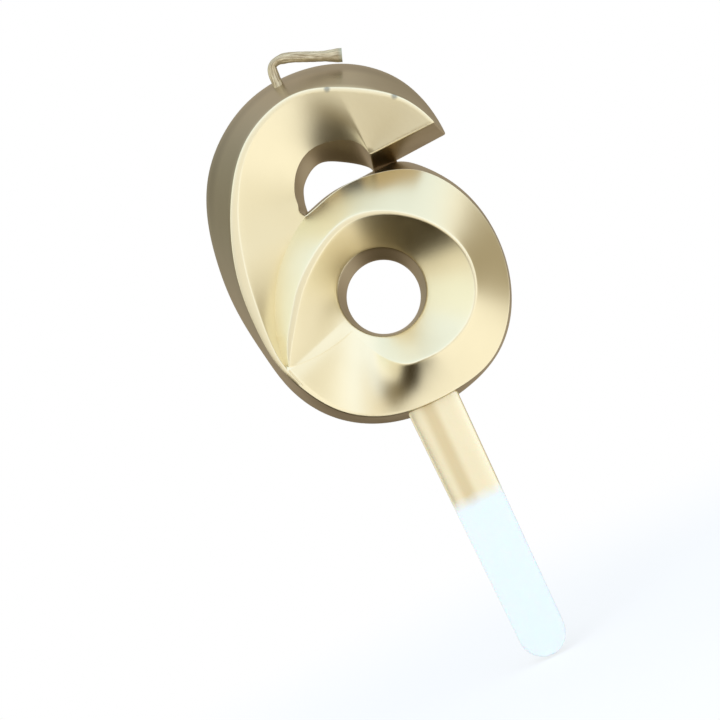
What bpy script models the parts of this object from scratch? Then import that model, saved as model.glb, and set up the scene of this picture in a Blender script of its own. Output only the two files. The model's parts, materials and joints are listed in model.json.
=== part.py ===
"""A numeral-six birthday candle on a flat plastic stick, with a folded cotton wick.

All sizes are millimetres until a mesh is made.  The candle stands upright: +X is to the
right of the numeral, +Z is up and the numeral's face looks along -Y.  The origin is on the
stick's flat back face, just under the wax.

The numeral is one casting with a flat back.  Its outer rim is a single spiral about the
middle of the lower counter: it starts at the stroke's cut end, runs over the top, down the
left side, round the bowl and in again to the upper counter.  "Height" always means the
distance from the flat back towards the face.
"""
import math

import bmesh
import bpy
import numpy as np
from mathutils import Matrix, Vector

MM = 0.001
COLLECTION = "numeral_six_candle"

# Driving dimensions of the wax numeral.
WAX_DEPTH = 15.0
BACK_Y = 6.4
SPIRAL_CENTRE = (0.0, 24.0)
STROKE_END_ANGLE = 48.3
STEM_TOE_ANGLE = 200.0
BOWL_START_ANGLE = 175.0
MEETING_ANGLE = 191.5
RIDGE_GROWN_ANGLE = 232.0
ANGLE_STEP = 3.0
HAND_OVER = 0.05
TOE_DIP = 0.12

# The lower counter is a round hole that narrows towards the back.
COUNTER_FRONT = (0.3, 25.2, 8.55)
COUNTER_BACK = (0.35, 24.3, 7.25)
COUNTER_EDGE_HEIGHT = 9.0

# Outer rim: angle about the spiral centre, radius.
RIM_RADIUS = (
    (48.3, 34.6), (58, 37.7), (67, 39.3), (77, 40.8), (87, 42.1), (97, 41.4), (107, 39.3),
    (119, 35.4), (133, 31.2), (148, 27.9), (168, 25.0), (185, 24.05), (203, 23.4),
    (222, 23.3), (245, 22.8), (270, 22.1), (285, 22.6), (305, 24.0), (325, 24.35),
    (350, 24.5), (380, 25.1), (400, 25.6), (412, 25.4), (425, 24.3), (440, 23.2),
    (455, 22.1), (467, 21.8), (480, 23.0), (494, 23.8), (515, 24.2), (535, 24.5),
)
# Outline of the flat back: angle, radius.
BACK_RADIUS = (
    (43.6, 34.8), (48.6, 37.7), (54.7, 41.0), (60.2, 43.5), (67, 45.7), (75, 47.3),
    (86, 48.0), (97, 47.5), (110, 45.0), (120, 42.0), (130, 38.1), (141, 33.9), (153, 30.4),
    (165, 27.8), (180, 25.9), (196, 25.5), (220, 25.3), (245, 24.5), (270, 23.9),
    (290, 24.2), (312, 25.2), (340, 25.45), (365, 25.8), (390, 26.75), (408, 27.4),
    (419, 27.3), (426, 26.0), (434, 24.5), (444, 23.7), (455, 23.1), (467, 22.7),
    (480, 23.6), (494, 24.2), (515, 25.2), (535, 26.35),
)
# Height of the rim round the bowl, from where it leaves the stem.
BOWL_RIM_HEIGHT = (
    (MEETING_ANGLE, 15.0), (200, 14.6), (210, 13.4), (220, 12.1), (230, 11.2), (240, 10.9),
    (250, 10.8), (262, 10.7), (275, 10.4), (290, 9.9), (312, 9.3), (335, 9.0), (400, 9.0),
    (467, 9.0), (480, 8.8), (494, 9.0), (507, 9.5), (520, 10.2), (535, 11.4),
)
# Width of the flat land along the rim.
RIM_LAND = (
    (48.3, 0.6), (77, 0.8), (100, 1.0), (130, 1.6), (150, 2.0), (168, 1.6), (185, 1.3),
    (200, 1.1), (220, 0.7), (245, 0.5), (270, 0.35), (535, 0.35),
)
# Ridge of the bowl, which grows out of the lower counter's edge: angle, radius, height, width
# of its land.
BOWL_RIDGE = (
    (207, 8.8, 9.4, 0.05), (218, 9.3, 9.55, 0.05), (229, 10.0, 9.9, 0.05),
    (240, 11.0, 10.7, 0.1), (250, 12.1, 12.1, 0.2), (258, 13.0, 13.3, 0.3),
    (266, 13.7, 14.2, 0.4), (276, 14.1, 14.75, 0.5), (290, 14.9, 15.0, 0.5),
    (303, 15.7, 15.0, 0.5), (318, 16.7, 15.0, 0.5), (340, 17.6, 15.0, 0.5),
    (360, 17.7, 15.0, 0.6), (385, 16.9, 15.0, 0.6), (410, 16.2, 15.0, 0.7),
    (435, 16.1, 15.0, 0.9), (450, 15.95, 15.0, 1.0), (470, 15.25, 15.0, 1.1),
    (491, 15.1, 15.0, 1.2), (511, 16.0, 15.0, 1.3), (527, 17.4, 15.0, 1.3),
    (542, 20.1, 15.0, 1.1), (551.5, 22.35, 15.0, 0.15),
)
# Foot of the stem's slope: rim angle it pairs with, X, Z, height.  It follows the upper
# counter and then the valley between the stem and the bowl.
STEM_FOOT = (
    (77.3, 9.3, 49.7, 13.5), (85, 7.4, 53.6, 12.8), (90, 4.5, 55.1, 12.0),
    (98, 0.1, 55.7, 11.0), (108, -3.9, 53.9, 10.1), (118, -6.3, 50.7, 9.7),
    (124.5, -7.05, 48.5, 9.55), (131, -7.45, 46.4, 9.5), (135, -8.5, 44.6, 9.7),
    (139, -10.0, 42.4, 10.1), (148, -14.0, 38.9, 11.0), (158, -18.0, 33.9, 11.9),
    (168, -20.8, 28.3, 12.7), (176, -22.0, 24.6, 13.4), (184, -22.4, 21.2, 14.2),
    (192, -22.0, 18.3, 14.2), (200, -21.0, 15.3, 13.6),
)
# The same line where it reaches the flat back.
STEM_FOOT_BACK = (
    (77.3, 9.1, 47.2), (85, 7.5, 49.6), (90, 4.3, 51.8), (98, 0.3, 53.4), (108, -3.2, 51.9),
    (118, -4.95, 49.8), (124.5, -5.5, 48.3), (131, -5.85, 46.6), (135, -6.05, 44.6),
    (139, -6.6, 42.2), (148, -10.3, 38.6), (158, -14.2, 33.5), (168, -17.0, 28.0),
    (184, -18.6, 21.0), (200, -17.6, 15.0),
)
STEM_BURIED = (131.0, 139.0, 4.0)
END_LEAN = (4.7, 20.0)

# Thin bridge of wax that closes the slit between the stroke's end and the bowl.
WEB_X = (9.2, 14.2)
WEB_Z = (45.6, 49.1)
WEB_HEIGHT = 3.5

# The stick: a flat plastic pick whose barbed head is cast into the wax.  The head is a little
# thinner than the blade, which gives a shoulder just under the wax.
STICK_THICKNESS = 2.4
HEAD_THICKNESS = 2.0
HEAD_START_Z = 0.25
STICK_HALF_TOP = 5.25
STICK_HALF_LOW = 4.65
STICK_TIP_Z = -52.2
STICK_EDGE = 0.35
HEAD_NECK = (1.5, 3.4, 4.8)
HEAD_NECK_HALF = 3.5
HEAD_BARB_HALF = 4.7
BARB_HOOK = 0.4
HEAD_TOP = (11.0, 1.6)
CAST_GAP = 0.3
BORE_GAP = 0.3

# The wick: a cotton cord that leaves the top of the wax, stands up and folds over.
WICK_Y = 2.4
WICK_RADIUS = 1.0
WICK_CUT_RADIUS = 1.4
WICK_EXIT = (-0.6, 71.5)
WICK_FOLD = (0.4, 74.55)
WICK_CUT_END = (13.2, 70.4)
WICK_SEAT_Z = 58.0
WICK_FLUSH_Z = 69.9
WICK_STEPS = 24

COLOURS = {
    "gold_lacquered_wax": ((0.78, 0.66, 0.42, 1.0), 0.32, 0.9),
    "gold_lacquered_cotton": ((0.74, 0.64, 0.40, 1.0), 0.55, 0.6),
    "milky_plastic": ((0.90, 0.95, 0.95, 1.0), 0.30, 0.0),
}


def clear_scene():
    """Remove every object of the open scene."""
    for item in list(bpy.data.objects):
        bpy.data.objects.remove(item, do_unlink=True)


def new_collection(name):
    """A collection linked to the scene."""
    group = bpy.data.collections.new(name)
    bpy.context.scene.collection.children.link(group)
    return group


def material(name):
    """A Principled material from the colour table."""
    colour, roughness, metallic = COLOURS[name]
    made = bpy.data.materials.new(name)
    made.use_nodes = True
    surface = made.node_tree.nodes["Principled BSDF"]
    surface.inputs["Base Color"].default_value = colour
    surface.inputs["Roughness"].default_value = roughness
    surface.inputs["Metallic"].default_value = metallic
    return made


def smooth_through(knots):
    """A function of the knots' first value, as a natural cubic spline through the rest."""
    table = np.array(knots, dtype=float)
    x = table[:, 0]
    y = table[:, 1:]
    gap = np.diff(x)
    count = len(x)
    left = np.eye(count)
    right = np.zeros_like(y)
    for i in range(1, count - 1):
        left[i, i - 1:i + 2] = gap[i - 1], 2 * (gap[i - 1] + gap[i]), gap[i]
        right[i] = 6 * ((y[i + 1] - y[i]) / gap[i] - (y[i] - y[i - 1]) / gap[i - 1])
    bend = np.linalg.solve(left, right)

    def value(at):
        at = min(max(at, x[0]), x[-1])
        i = min(int(np.searchsorted(x, at, side="right")) - 1, count - 2)
        a = (x[i + 1] - at) / gap[i]
        b = 1 - a
        curve = ((a ** 3 - a) * bend[i] + (b ** 3 - b) * bend[i + 1]) * gap[i] ** 2 / 6
        return a * y[i] + b * y[i + 1] + curve

    return value


def ramp(at, low, high):
    """0 below low, 1 above high, and a smooth step between."""
    share = min(max((at - low) / (high - low), 0.0), 1.0)
    return share * share * (3 - 2 * share)


rim_radius = smooth_through(RIM_RADIUS)
back_radius = smooth_through(BACK_RADIUS)
bowl_rim_height = smooth_through(BOWL_RIM_HEIGHT)
rim_land = smooth_through(RIM_LAND)
bowl_ridge = smooth_through(BOWL_RIDGE)
stem_foot = smooth_through(STEM_FOOT)
stem_foot_back = smooth_through(STEM_FOOT_BACK)


def on_spiral(angle, radius):
    """X and Z of a point at an angle and radius about the spiral centre."""
    turn = math.radians(angle)
    return np.array([
        SPIRAL_CENTRE[0] + radius * math.cos(turn),
        SPIRAL_CENTRE[1] + radius * math.sin(turn),
    ])


def on_circle(circle, angle):
    """X and Z of a point on a round hole's edge."""
    turn = math.radians(angle)
    return np.array([circle[0] + circle[2] * math.cos(turn), circle[1] + circle[2] * math.sin(turn)])


def at_height(point, height):
    """A point of the wax, in metres, from its X and Z and its height above the flat back."""
    return Vector((point[0] * MM, (BACK_Y - height) * MM, point[1] * MM))


def steps(low, high):
    """Evenly spaced angles from low to high, about one ANGLE_STEP apart."""
    count = max(2, round((high - low) / ANGLE_STEP) + 1)
    return np.linspace(low, high, count)


def stem_section(angle):
    """Section of the stem at one rim angle: back, rim, land, foot, buried foot, back."""
    sunk = ramp(angle, MEETING_ANGLE, STEM_TOE_ANGLE) * TOE_DIP
    lean = END_LEAN[0] * (1 - min((angle - STROKE_END_ANGLE) / END_LEAN[1], 1.0))
    rim = on_spiral(angle, float(rim_radius(angle)[0]) - sunk)
    back = on_spiral(angle - lean, float(back_radius(angle - lean)[0]) - sunk)
    x, z, foot_height = stem_foot(angle)
    foot = np.array([x, z])
    inward = (foot - rim) / np.linalg.norm(foot - rim)
    land = rim + inward * float(rim_land(angle)[0])
    top = WAX_DEPTH - sunk
    run = np.linalg.norm(foot - land)
    buried = ramp(angle, STEM_BURIED[0], STEM_BURIED[1]) * STEM_BURIED[2]
    drop = min((top - foot_height) / run, 1.6)
    deep = foot + inward * buried
    return [
        at_height(back, 0.0),
        at_height(rim, top),
        at_height(land, top),
        at_height(foot, foot_height - sunk),
        at_height(deep, foot_height - sunk - drop * buried),
        at_height(stem_foot_back(angle), 0.0),
    ]


def bowl_section(angle):
    """Section of the bowl: hole at the back, hole at the front, ridge, rim, back."""
    counter_back = on_circle(COUNTER_BACK, angle)
    counter = on_circle(COUNTER_FRONT, angle)
    buried = 1 - ramp(angle, MEETING_ANGLE, MEETING_ANGLE + 4)
    radius = float(rim_radius(angle)[0]) - HAND_OVER * buried
    outer = float(back_radius(angle)[0]) - HAND_OVER * buried
    land = float(rim_land(angle)[0])
    rim_height = float(bowl_rim_height(angle)[0])
    if angle < MEETING_ANGLE:
        rising = (angle - BOWL_START_ANGLE) / (MEETING_ANGLE - BOWL_START_ANGLE)
        start_height = BOWL_RIM_HEIGHT[-1][1]
        rim_height = start_height + (WAX_DEPTH - start_height) * rising ** 2
        land = RIM_LAND[-1][1] + (land - RIM_LAND[-1][1]) * rising ** 2
    rim_height = min(rim_height, WAX_DEPTH - 0.02)
    rim_in = radius - land
    ridge_angle = angle if angle > BOWL_RIDGE[0][0] else angle + 360
    if ridge_angle <= BOWL_RIDGE[-1][0]:
        ridge, ridge_height, ridge_land = bowl_ridge(ridge_angle)
    else:
        share = (angle - MEETING_ANGLE) / (BOWL_RIDGE[0][0] - MEETING_ANGLE)
        ridge = BOWL_RIDGE[-1][1] + (BOWL_RIDGE[0][1] - BOWL_RIDGE[-1][1]) * share
        ridge_land = 0.1
        ridge_height = None
    counter_radius = np.linalg.norm(counter - np.array(SPIRAL_CENTRE))
    straight = COUNTER_EDGE_HEIGHT + (rim_height - COUNTER_EDGE_HEIGHT) * (
        (ridge - counter_radius) / (rim_in - counter_radius))
    grown = 1.0
    if ridge_height is None:
        grown = 0.0
        ridge_height = straight
    elif BOWL_RIDGE[0][0] < angle < RIDGE_GROWN_ANGLE:
        grown = ramp(angle, BOWL_RIDGE[0][0], RIDGE_GROWN_ANGLE)
        ridge_height = straight + (ridge_height - straight) * grown
    ridge_height = min(ridge_height, WAX_DEPTH - 0.02)
    ridge_out = min(ridge + ridge_land / 2, rim_in - 0.02)
    ridge_in = min(ridge - ridge_land / 2, ridge_out - 0.02)
    edge = on_spiral(angle, rim_in)

    def ridge_point(at):
        """Straight out from the centre, or on the bare slope's own line where the ridge fades."""
        slope = counter + (edge - counter) * ((at - counter_radius) / (rim_in - counter_radius))
        return slope + (on_spiral(angle, at) - slope) * grown

    return [
        at_height(counter_back, 0.0),
        at_height(counter, COUNTER_EDGE_HEIGHT),
        at_height(ridge_point(ridge_in), ridge_height),
        at_height(ridge_point(ridge_out), ridge_height),
        at_height(edge, rim_height),
        at_height(on_spiral(angle, radius), rim_height),
        at_height(on_spiral(angle, outer), 0.0),
    ]


def loft(name, sections, closed):
    """A closed solid through sections of equal length, capped at its ends unless it is a ring."""
    mesh = bmesh.new()
    rows = [[mesh.verts.new(point) for point in section] for section in sections]
    width = len(rows[0])
    pairs = list(zip(rows, rows[1:]))
    if closed:
        pairs.append((rows[-1], rows[0]))
    for here, there in pairs:
        for i in range(width):
            j = (i + 1) % width
            mesh.faces.new((here[i], here[j], there[j], there[i]))
    if not closed:
        mesh.faces.new(rows[0])
        mesh.faces.new(list(reversed(rows[-1])))
    bmesh.ops.remove_doubles(mesh, verts=mesh.verts, dist=1e-7)
    bmesh.ops.dissolve_degenerate(mesh, dist=1e-7, edges=mesh.edges)
    bmesh.ops.triangulate(mesh, faces=mesh.faces)
    bmesh.ops.recalc_face_normals(mesh, faces=mesh.faces)
    data = bpy.data.meshes.new(name)
    mesh.to_mesh(data)
    mesh.free()
    return bpy.data.objects.new(name, data)


def wedge(name):
    """The bridge of wax in the notch: a block whose height falls to nothing at its tip."""
    mesh = bmesh.new()
    profile = ((WEB_X[0], 0.0), (WEB_X[1], 0.0), (WEB_X[0], WEB_HEIGHT))
    corners = [mesh.verts.new(at_height((x, WEB_Z[0]), height)) for x, height in profile]
    face = mesh.faces.new(corners)
    grown = bmesh.ops.extrude_face_region(mesh, geom=[face])
    moved = [part for part in grown["geom"] if isinstance(part, bmesh.types.BMVert)]
    bmesh.ops.translate(mesh, verts=moved, vec=(0, 0, (WEB_Z[1] - WEB_Z[0]) * MM))
    bmesh.ops.recalc_face_normals(mesh, faces=mesh.faces)
    data = bpy.data.meshes.new(name)
    mesh.to_mesh(data)
    mesh.free()
    return bpy.data.objects.new(name, data)


def stick_outline(grow):
    """Outline of the stick in X and Z, made larger all round by grow."""
    neck_low, neck_high, barb = HEAD_NECK
    top, top_half = HEAD_TOP
    right = [
        (STICK_HALF_TOP + grow, neck_low),
        (HEAD_NECK_HALF + grow, neck_high),
        (HEAD_NECK_HALF + grow, barb - grow),
        (HEAD_BARB_HALF + grow, barb - BARB_HOOK - grow),
        (HEAD_BARB_HALF + grow, barb + 1.0 + grow),
        (top_half + grow, top + grow),
    ]
    low = []
    half = STICK_HALF_LOW + grow
    centre_z = STICK_TIP_Z + STICK_HALF_LOW
    for i in range(17):
        turn = math.pi * i / 16
        low.append((-half * math.cos(turn), centre_z - half * math.sin(turn)))
    left = [(-x, z) for x, z in reversed(right)]
    return low + right + left


def flat_plate(name, outline, thickness, middle_y, group):
    """A flat plate cut to an outline: a filled 2D curve turned into a mesh."""
    curve = bpy.data.curves.new(name + "_outline", "CURVE")
    curve.dimensions = "2D"
    curve.fill_mode = "BOTH"
    curve.extrude = thickness / 2 * MM
    line = curve.splines.new("POLY")
    line.points.add(len(outline) - 1)
    for point, (x, z) in zip(line.points, outline):
        point.co = (x * MM, z * MM, 0.0, 1.0)
    line.use_cyclic_u = True
    drawn = bpy.data.objects.new(name + "_outline", curve)
    drawn.location = (0.0, middle_y * MM, 0.0)
    drawn.rotation_euler = (math.radians(90), 0.0, 0.0)
    group.objects.link(drawn)
    bpy.context.view_layer.update()
    evaluated = drawn.evaluated_get(bpy.context.evaluated_depsgraph_get())
    data = bpy.data.meshes.new_from_object(evaluated)
    plate = bpy.data.objects.new(name, data)
    plate.matrix_world = drawn.matrix_world
    group.objects.link(plate)
    bpy.data.objects.remove(drawn, do_unlink=True)
    mesh = bmesh.new()
    mesh.from_mesh(data)
    bmesh.ops.remove_doubles(mesh, verts=mesh.verts, dist=1e-6)
    bmesh.ops.recalc_face_normals(mesh, faces=mesh.faces)
    mesh.to_mesh(data)
    mesh.free()
    return plate


def join_in(target, tool, operation):
    """Add an exact Boolean modifier to the target."""
    cut = target.modifiers.new(operation.lower() + "_" + tool.name, "BOOLEAN")
    cut.operation = operation
    cut.solver = "EXACT"
    cut.object = tool


def as_tool(item):
    """Mark an object as a guide that isn't part of the candle."""
    item.hide_render = True
    item.display_type = "WIRE"


def turned(name, profile, start, direction, group):
    """A turned piece: a profile of (radius, distance along) spun about its own axis."""
    mesh = bmesh.new()
    points = [mesh.verts.new((radius * MM, 0.0, along * MM)) for radius, along in profile]
    for here, there in zip(points, points[1:]):
        mesh.edges.new((here, there))
    data = bpy.data.meshes.new(name)
    mesh.to_mesh(data)
    mesh.free()
    piece = bpy.data.objects.new(name, data)
    group.objects.link(piece)
    spin = piece.modifiers.new("spin", "SCREW")
    spin.axis = "Z"
    spin.steps = WICK_STEPS
    spin.render_steps = WICK_STEPS
    spin.use_merge_vertices = True
    spin.merge_threshold = 0.00001
    spin.use_smooth_shade = True
    way = Vector((direction[0], 0.0, direction[1]))
    piece.location = (start[0] * MM, WICK_Y * MM, start[1] * MM)
    piece.rotation_euler = way.to_track_quat("Z", "Y").to_euler()
    return piece


def ball_end(radius, bottom, count):
    """Profile points of the lower half of a ball, from its side down to its pole."""
    points = []
    for i in range(count + 1):
        turn = math.pi / 2 * i / count
        points.append((radius * math.cos(turn), bottom - radius * math.sin(turn)))
    points[-1] = (0.0, bottom - radius)
    return points


def wax_numeral(parts, tools):
    """The wax casting: stem and bowl joined, less the stick's seat and the wick's bore."""
    stem = loft("numeral_six_wax", [stem_section(a) for a in steps(STROKE_END_ANGLE, STEM_TOE_ANGLE)],
                False)
    ring = steps(BOWL_START_ANGLE, BOWL_START_ANGLE + 360)[:-1]
    bowl = loft("bowl_ring", [bowl_section(a) for a in ring], True)
    web = wedge("notch_web")
    parts.objects.link(stem)
    for tool in (bowl, web):
        tools.objects.link(tool)
        as_tool(tool)
    seat = flat_plate("stick_seat", stick_outline(CAST_GAP), HEAD_THICKNESS + 2 * CAST_GAP,
                      -STICK_THICKNESS / 2, tools)
    as_tool(seat)
    bore_length = WICK_EXIT[1] + 6 - WICK_SEAT_Z + BORE_GAP
    bpy.ops.mesh.primitive_cylinder_add(
        vertices=WICK_STEPS,
        radius=(WICK_RADIUS + BORE_GAP) * MM,
        depth=bore_length * MM,
        location=(WICK_EXIT[0] * MM, WICK_Y * MM, (WICK_SEAT_Z - BORE_GAP + bore_length / 2) * MM),
    )
    bore = bpy.context.object
    bore.name = "wick_bore"
    bore.users_collection[0].objects.unlink(bore)
    tools.objects.link(bore)
    as_tool(bore)
    join_in(stem, bowl, "UNION")
    join_in(stem, web, "UNION")
    join_in(stem, seat, "DIFFERENCE")
    join_in(stem, bore, "DIFFERENCE")
    stem.data.materials.append(material("gold_lacquered_wax"))
    return stem


def cutting_block(name, low, high, tools):
    """A box between two corners, used to cut material away."""
    bpy.ops.mesh.primitive_cube_add(size=1.0)
    block = bpy.context.object
    block.name = name
    block.scale = [(b - a) * MM for a, b in zip(low, high)]
    block.location = [(a + b) / 2 * MM for a, b in zip(low, high)]
    block.users_collection[0].objects.unlink(block)
    tools.objects.link(block)
    as_tool(block)
    return block


def plastic_stick(parts, tools):
    """The flat stick with its thinner barbed head, edges slightly rounded."""
    stick = flat_plate("plastic_stick", stick_outline(0.0), STICK_THICKNESS, -STICK_THICKNESS / 2, parts)
    soften = stick.modifiers.new("soft_edges", "BEVEL")
    soften.width = STICK_EDGE * MM
    soften.segments = 2
    soften.limit_method = "ANGLE"
    soften.angle_limit = math.radians(40)
    middle = -STICK_THICKNESS / 2
    half_head = HEAD_THICKNESS / 2
    side = STICK_HALF_TOP + 2
    top = HEAD_TOP[0] + 1
    front = cutting_block("head_front_relief", (-side, -STICK_THICKNESS - 1, HEAD_START_Z),
                          (side, middle - half_head, top), tools)
    back = cutting_block("head_back_relief", (-side, middle + half_head, HEAD_START_Z),
                         (side, 1, top), tools)
    join_in(stick, front, "DIFFERENCE")
    join_in(stick, back, "DIFFERENCE")
    stick.data.materials.append(material("milky_plastic"))
    return stick


def cotton_wick(parts):
    """The wick as three links: cast in the wax, standing leg, folded free end."""
    cotton = material("gold_lacquered_cotton")
    length = WICK_FLUSH_Z - WICK_SEAT_Z
    root = turned(
        "wick_in_wax",
        [(0.0, length), (WICK_RADIUS, length), (WICK_RADIUS, 0.0), (0.0, 0.0)],
        (WICK_EXIT[0], WICK_SEAT_Z), (0.0, 1.0), parts)
    leg_way = (WICK_FOLD[0] - WICK_EXIT[0], WICK_FOLD[1] - WICK_EXIT[1])
    leg_length = math.hypot(*leg_way)
    leg = turned(
        "wick_leg",
        [(0.0, leg_length - 1.5), (0.5, leg_length - 1.5), (WICK_RADIUS, leg_length - 2.1)]
        + ball_end(WICK_RADIUS, 0.0, 5),
        WICK_EXIT, leg_way, parts)
    end_way = (WICK_CUT_END[0] - WICK_FOLD[0], WICK_CUT_END[1] - WICK_FOLD[1])
    end_length = math.hypot(*end_way)
    free_end = turned(
        "wick_free_end",
        [(0.0, end_length), (WICK_CUT_RADIUS, end_length), (WICK_CUT_RADIUS - 0.1, end_length - 1.2),
         (WICK_RADIUS, end_length - 3.4)] + ball_end(WICK_RADIUS, 0.0, 5),
        WICK_FOLD, end_way, parts)
    for piece in (root, leg, free_end):
        piece.data.materials.append(cotton)


def main():
    """Build the candle."""
    clear_scene()
    parts = new_collection(COLLECTION)
    tools = new_collection("guides")
    wax_numeral(parts, tools)
    plastic_stick(parts, tools)
    cotton_wick(parts)


main()
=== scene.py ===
# Looks of the numeral-six birthday candle: gold-lacquered wax, corded wick, milky plastic stick.
#
# The frame gives every place.  Sizes below are millimetres in the frame's axes: +X to the right
# of the numeral, +Z up, the numeral's face towards -Y.  Heights in the wax are measured from its
# flat back towards its face.
import json
import math

import bmesh
import bpy
import numpy as np
from mathutils import Matrix, Vector


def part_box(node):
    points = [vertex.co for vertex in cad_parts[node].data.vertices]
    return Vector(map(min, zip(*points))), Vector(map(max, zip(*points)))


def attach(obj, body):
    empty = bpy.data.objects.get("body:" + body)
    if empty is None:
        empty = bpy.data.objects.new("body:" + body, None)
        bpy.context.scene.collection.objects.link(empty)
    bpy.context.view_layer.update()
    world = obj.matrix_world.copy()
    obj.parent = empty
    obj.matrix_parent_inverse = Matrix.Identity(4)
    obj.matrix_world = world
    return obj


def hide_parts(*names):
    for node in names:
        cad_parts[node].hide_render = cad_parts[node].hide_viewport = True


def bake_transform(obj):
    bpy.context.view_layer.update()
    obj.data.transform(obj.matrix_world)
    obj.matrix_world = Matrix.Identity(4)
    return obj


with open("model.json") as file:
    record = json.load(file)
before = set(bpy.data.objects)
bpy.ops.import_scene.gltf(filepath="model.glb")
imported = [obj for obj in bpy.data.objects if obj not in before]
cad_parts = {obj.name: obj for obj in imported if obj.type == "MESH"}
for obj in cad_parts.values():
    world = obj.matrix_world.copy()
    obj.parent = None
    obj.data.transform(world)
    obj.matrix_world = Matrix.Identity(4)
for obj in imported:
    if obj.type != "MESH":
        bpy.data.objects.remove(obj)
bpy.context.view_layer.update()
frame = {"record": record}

MM = 0.001

# Places that the frame gives.
wax_low, wax_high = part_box("numeral_six_wax")
stick_low, stick_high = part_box("plastic_stick")
end_low, end_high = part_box("wick_free_end")
BACK_Y = wax_high[1] / MM
WAX_DEPTH = (wax_high[1] - wax_low[1]) / MM
JOINT = {joint["name"]: joint for joint in frame["record"]["behaviour"]["joints"]}
LEAN_PIVOT = Vector(JOINT["wick_lean"]["pos_m"])
FOLD_PIVOT = Vector(JOINT["wick_fold"]["pos_m"])

# Wax.  The outer rim is one spiral about the middle of the lower counter.  Angles are degrees
# about that centre, anticlockwise from +X, and run on past 360 where the bowl goes round.
SPIRAL_CENTRE = (0.0, 24.0)
STROKE_END_ANGLE = 48.3
STEM_TOE_ANGLE = 200.0
BOWL_START_ANGLE = 175.0
MEETING_ANGLE = 191.5
RIDGE_GROWN_ANGLE = 232.0
STEM_STEP = 0.8
BOWL_STEP = 1.0
HAND_OVER = 0.05
TOE_DIP = 0.12
# The lower counter's round edge at the front and at the back: X, Z, radius.
COUNTER_FRONT = (0.3, 25.2, 8.55)
COUNTER_BACK = (0.35, 24.3, 7.25)
COUNTER_EDGE_HEIGHT = 9.0
# The outer rim at the front: angle, radius.
RIM_RADIUS = (
    (48.3, 34.6), (58, 37.7), (67, 39.3), (77, 40.8), (87, 42.1), (97, 41.4), (107, 39.3),
    (119, 35.4), (133, 31.2), (148, 27.9), (168, 25.0), (185, 24.05), (203, 23.4),
    (222, 23.3), (245, 22.8), (270, 22.1), (285, 22.6), (305, 24.0), (325, 24.35),
    (350, 24.5), (380, 25.1), (400, 25.6), (412, 25.4), (425, 24.3), (440, 23.2),
    (455, 22.1), (467, 21.8), (480, 23.0), (494, 23.8), (515, 24.2), (535, 24.5),
)
# The outer rim at the back: angle, radius.
BACK_RADIUS = (
    (43.6, 34.8), (48.6, 37.7), (54.7, 41.0), (60.2, 43.5), (67, 45.7), (75, 47.3),
    (86, 48.0), (97, 47.5), (110, 45.0), (120, 42.0), (130, 38.1), (141, 33.9), (153, 30.4),
    (165, 27.8), (180, 25.9), (196, 25.5), (220, 25.3), (245, 24.5), (270, 23.9),
    (290, 24.2), (312, 25.2), (340, 25.45), (365, 25.8), (390, 26.75), (408, 27.4),
    (419, 27.3), (426, 26.0), (434, 24.5), (444, 23.7), (455, 23.1), (467, 22.7),
    (480, 23.6), (494, 24.2), (515, 25.2), (535, 26.35),
)
# The bowl's rim: angle, height.
BOWL_RIM_HEIGHT = (
    (MEETING_ANGLE, 15.0), (200, 14.6), (210, 13.4), (220, 12.1), (230, 11.2), (240, 10.9),
    (250, 10.8), (262, 10.7), (275, 10.4), (290, 9.9), (312, 9.3), (335, 9.0), (400, 9.0),
    (467, 9.0), (480, 8.8), (494, 9.0), (507, 9.5), (520, 10.2), (535, 11.4),
)
# The narrow flat along the rim: angle, width.
RIM_LAND = (
    (48.3, 0.6), (77, 0.8), (100, 1.0), (130, 1.6), (150, 2.0), (168, 1.6), (185, 1.3),
    (200, 1.1), (220, 0.7), (245, 0.5), (270, 0.35), (535, 0.35),
)
# The bowl's ridge: angle, radius, height, width of its flat top.
BOWL_RIDGE = (
    (207, 8.8, 9.4, 0.05), (218, 9.3, 9.55, 0.05), (229, 10.0, 9.9, 0.05),
    (240, 11.0, 10.7, 0.1), (250, 12.1, 12.1, 0.2), (258, 13.0, 13.3, 0.3),
    (266, 13.7, 14.2, 0.4), (276, 14.1, 14.75, 0.5), (290, 14.9, 15.0, 0.5),
    (303, 15.7, 15.0, 0.5), (318, 16.7, 15.0, 0.5), (340, 17.6, 15.0, 0.5),
    (360, 17.7, 15.0, 0.6), (385, 16.9, 15.0, 0.6), (410, 16.2, 15.0, 0.7),
    (435, 16.1, 15.0, 0.9), (450, 15.95, 15.0, 1.0), (470, 15.25, 15.0, 1.1),
    (491, 15.1, 15.0, 1.2), (511, 16.0, 15.0, 1.3), (527, 17.4, 15.0, 1.3),
    (542, 20.1, 15.0, 1.1), (551.5, 22.35, 15.0, 0.15),
)
# The inner edge of the stem's slope: rim angle, X, Z, height.
STEM_FOOT = (
    (77.3, 9.3, 49.7, 13.5), (85, 7.4, 53.6, 12.8), (90, 4.5, 55.1, 12.0),
    (98, 0.1, 55.7, 11.0), (108, -3.9, 53.9, 10.1), (118, -6.3, 50.7, 9.7),
    (124.5, -7.05, 48.5, 9.55), (131, -7.45, 46.4, 9.5), (135, -8.5, 44.6, 9.7),
    (139, -10.0, 42.4, 10.1), (148, -14.0, 38.9, 11.0), (158, -18.0, 33.9, 11.9),
    (168, -20.8, 28.3, 12.7), (176, -22.0, 24.6, 13.4), (184, -22.4, 21.2, 14.2),
    (192, -22.0, 18.3, 14.2), (200, -21.0, 15.3, 13.6),
)
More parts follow.
